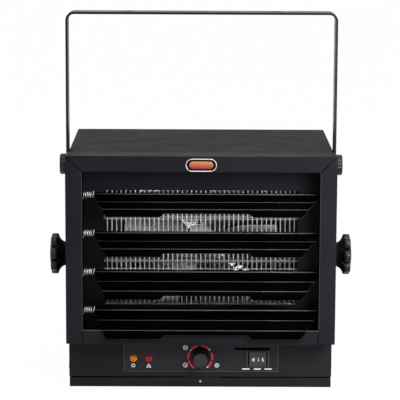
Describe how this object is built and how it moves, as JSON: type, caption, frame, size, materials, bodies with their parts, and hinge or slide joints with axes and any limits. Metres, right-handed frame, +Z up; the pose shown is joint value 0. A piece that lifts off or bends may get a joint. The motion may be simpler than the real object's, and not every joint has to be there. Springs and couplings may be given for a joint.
{
  "type": "electric garage heater",
  "caption": "Boxy black fan heater with tilting louvers, a control panel below them and a U bracket on clamp knobs.",
  "frame": {"origin": "centre of the cabinet's underside, on the face that it stands on", "axes": "+Z up, the front faces -Y, +X is to the right seen from the front"},
  "size_m": [0.4164, 0.3107, 0.5155],
  "materials": {
    "black_sheet": "satin black powder coat on steel sheet",
    "black_bar": "satin black powder coat on flat bar",
    "louver_black": "satin black powder coat",
    "panel_plate": "dark grey satin plate",
    "zinc_sheet": "galvanised sheet",
    "bright_wire": "bright plated wire",
    "spring": "bright zinc plated spring wire",
    "element": "finned steel tube",
    "steel": "zinc plated steel",
    "zinc_cast": "cast zinc",
    "black_screw": "blackened screw",
    "motor": "dark painted motor can",
    "bronze": "sintered bronze",
    "fan_aluminium": "bright rolled aluminium",
    "black_plastic": "fine grained black plastic",
    "dark_plastic": "dark phenolic",
    "rocker_plastic": "dark grey fine grained plastic",
    "cream_plastic": "cream thermoset",
    "amber_lens": "clear amber lens",
    "red_lens": "clear red lens",
    "chrome": "bright rim with a dark field"
  },
  "bodies": {
    "cabinet": {"cabinet_shell": "black_sheet", "base_plate": "black_sheet", "rear_panel": "black_sheet", "front_frame": "black_sheet", "louver_rail_left": "black_sheet", "louver_rail_right": "black_sheet", "outlet_panel": "black_sheet", "front_guard": "bright_wire", "duct_side_left": "zinc_sheet", "duct_side_right": "zinc_sheet", "heating_element_1": "element", "heating_element_2": "element", "heating_element_3": "element", "fan_shroud": "zinc_sheet", "fan_motor": "motor", "motor_mount": "zinc_sheet", "motor_bearings": "bronze", "motor_screws": "steel", "compartment_divider": "zinc_sheet", "control_panel": "black_sheet", "panel_plate": "panel_plate", "thermostat_body": "dark_plastic", "switch_body": "black_plastic", "lamp_amber": "amber_lens", "lamp_red": "red_lens", "lamp_bodies": "dark_plastic", "terminal_block": "cream_plastic", "contactor": "dark_plastic", "thermal_cutout": "steel", "cable_gland": "zinc_cast", "gland_locknut": "zinc_cast", "pivot_bushes": "steel", "badge_plate": "chrome", "louver_spring_1": "spring", "louver_spring_2": "spring", "louver_spring_3": "spring", "louver_spring_4": "spring", "base_screw": "steel", "cabinet_screws": "black_screw", "rear_screws": "black_screw"},
    "bracket": {"mounting_bracket": "black_bar", "lock_nuts": "steel"},
    "clamp_left": {"clamp_knob_left": "black_plastic"},
    "clamp_right": {"clamp_knob_right": "black_plastic"},
    "lock_left": {"lock_knob_left": "black_plastic"},
    "lock_right": {"lock_knob_right": "black_plastic"},
    "thermostat": {"thermostat_knob": "black_plastic", "thermostat_spindle": "steel"},
    "rocker": {"switch_rocker": "rocker_plastic"},
    "fan": {"fan_rotor": "fan_aluminium", "motor_shaft": "steel"},
    "louver_1": {"louver_1": "louver_black", "louver_rod_1": "steel"},
    "louver_2": {"louver_2": "louver_black", "louver_rod_2": "steel"},
    "louver_3": {"louver_3": "louver_black", "louver_rod_3": "steel"},
    "louver_4": {"louver_4": "louver_black", "louver_rod_4": "steel"}
  },
  "joints": [
    {"name": "bracket_tilt", "type": "hinge", "parent": "cabinet", "child": "bracket", "pos_m": [0, -0.079, 0.1793], "axis": [-1, 0, 0], "range_deg": [0, 40]},
    {"name": "clamp_left_turn", "type": "hinge", "parent": "cabinet", "child": "clamp_left", "pos_m": [-0.19, -0.079, 0.1793], "axis": [-1, 0, 0], "continuous": true},
    {"name": "clamp_right_turn", "type": "hinge", "parent": "cabinet", "child": "clamp_right", "pos_m": [0.19, -0.079, 0.1793], "axis": [1, 0, 0], "continuous": true},
    {"name": "lock_left_turn", "type": "hinge", "parent": "bracket", "child": "lock_left", "pos_m": [-0.19, -0.079, 0.3051], "axis": [-1, 0, 0], "continuous": true},
    {"name": "lock_right_turn", "type": "hinge", "parent": "bracket", "child": "lock_right", "pos_m": [0.19, -0.079, 0.3051], "axis": [1, 0, 0], "continuous": true},
    {"name": "thermostat_turn", "type": "hinge", "parent": "cabinet", "child": "thermostat", "pos_m": [0, -0.13, 0.0418], "axis": [0, -1, 0], "range_deg": [-135, 135]},
    {"name": "switch_rock", "type": "hinge", "parent": "cabinet", "child": "rocker", "pos_m": [0.0792, -0.1206, 0.0403], "axis": [0, 0, 1], "range_deg": [-9, 9]},
    {"name": "fan_spin", "type": "hinge", "parent": "cabinet", "child": "fan", "pos_m": [0, -0.03, 0.19545], "axis": [0, -1, 0], "continuous": true},
    {"name": "louver_1_tilt", "type": "hinge", "parent": "cabinet", "child": "louver_1", "pos_m": [0, -0.14, 0.2727], "axis": [-1, 0, 0], "range_deg": [-50, 30]},
    {"name": "louver_2_tilt", "type": "hinge", "parent": "cabinet", "child": "louver_2", "pos_m": [0, -0.14, 0.2195], "axis": [-1, 0, 0], "range_deg": [-50, 30]},
    {"name": "louver_3_tilt", "type": "hinge", "parent": "cabinet", "child": "louver_3", "pos_m": [0, -0.14, 0.1663], "axis": [-1, 0, 0], "range_deg": [-38, 42]},
    {"name": "louver_4_tilt", "type": "hinge", "parent": "cabinet", "child": "louver_4", "pos_m": [0, -0.14, 0.1131], "axis": [-1, 0, 0], "range_deg": [0, 46]}
  ]
}
